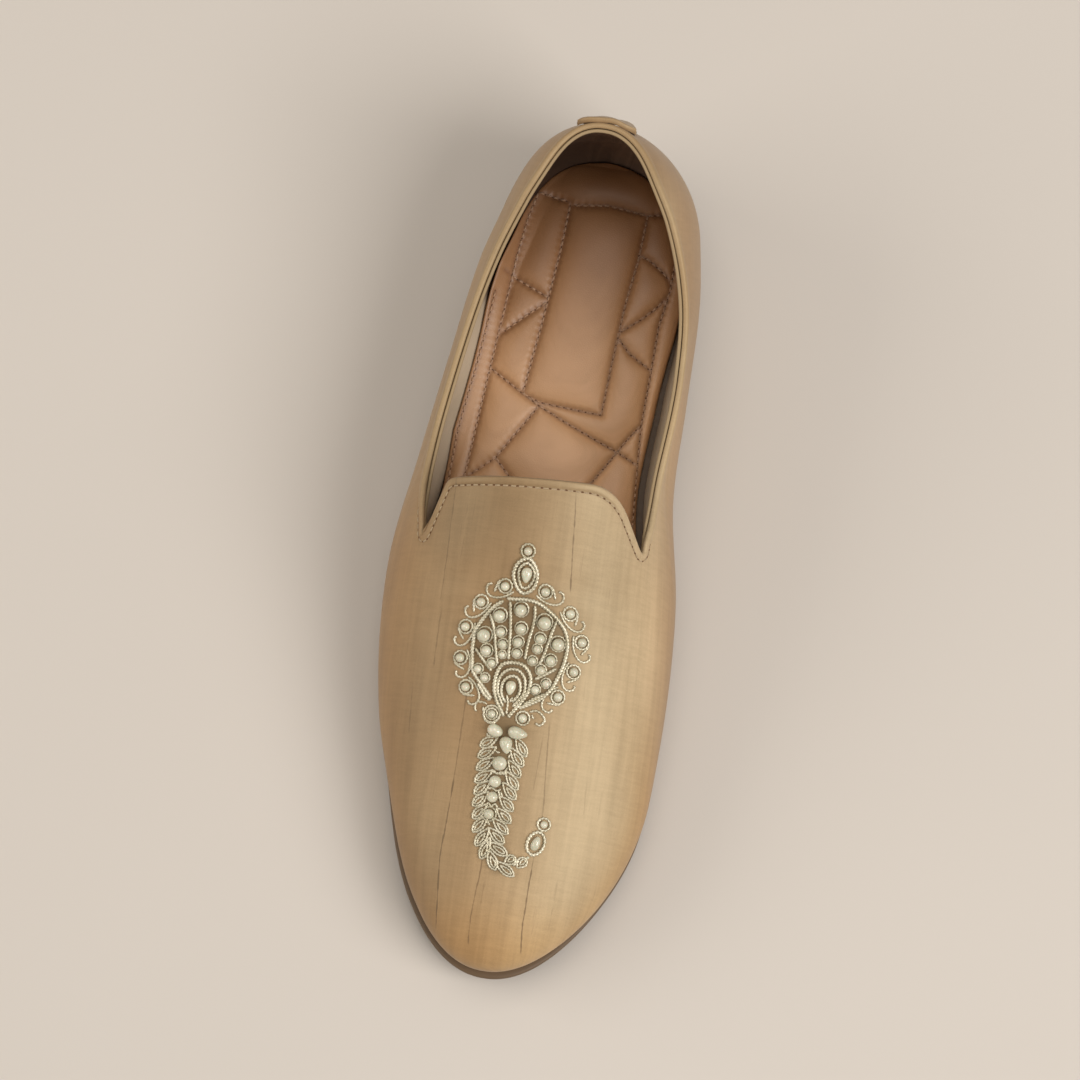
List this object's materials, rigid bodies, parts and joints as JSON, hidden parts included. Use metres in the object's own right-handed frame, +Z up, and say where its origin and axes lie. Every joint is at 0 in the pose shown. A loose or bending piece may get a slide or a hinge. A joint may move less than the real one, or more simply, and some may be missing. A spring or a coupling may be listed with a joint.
{
  "type": "loafer",
  "caption": "Woman's slip-on silk loafer for the right foot: notched tab vamp with bead ornament, padded quilted insole, thin outsole on a low heel.",
  "frame": {"origin": "on the floor, under the middle of the shoe's bounding box", "axes": "+Z up, the toe points to -Y and the heel to +Y, +X is the inner (medial) side of the right foot"},
  "size_m": [0.0878, 0.251, 0.0713],
  "materials": {
    "silk": "raw silk with lengthwise slubs, soft sheen",
    "lining": "smooth matte lining",
    "insole": "quilted padded leatherette, satin",
    "outsole": "brown moulded edge, satin",
    "heel_block": "brown moulded, satin",
    "wire": "fine coiled metal wire, pale gold",
    "pearl": "cream pearl beads",
    "thread": "sewing thread"
  },
  "bodies": {
    "root": {"upper": "silk", "outsole": "outsole", "heel": "heel_block", "insole": "insole", "heel_tab": "silk", "embroidery": "wire"}
  },
  "joints": []
}
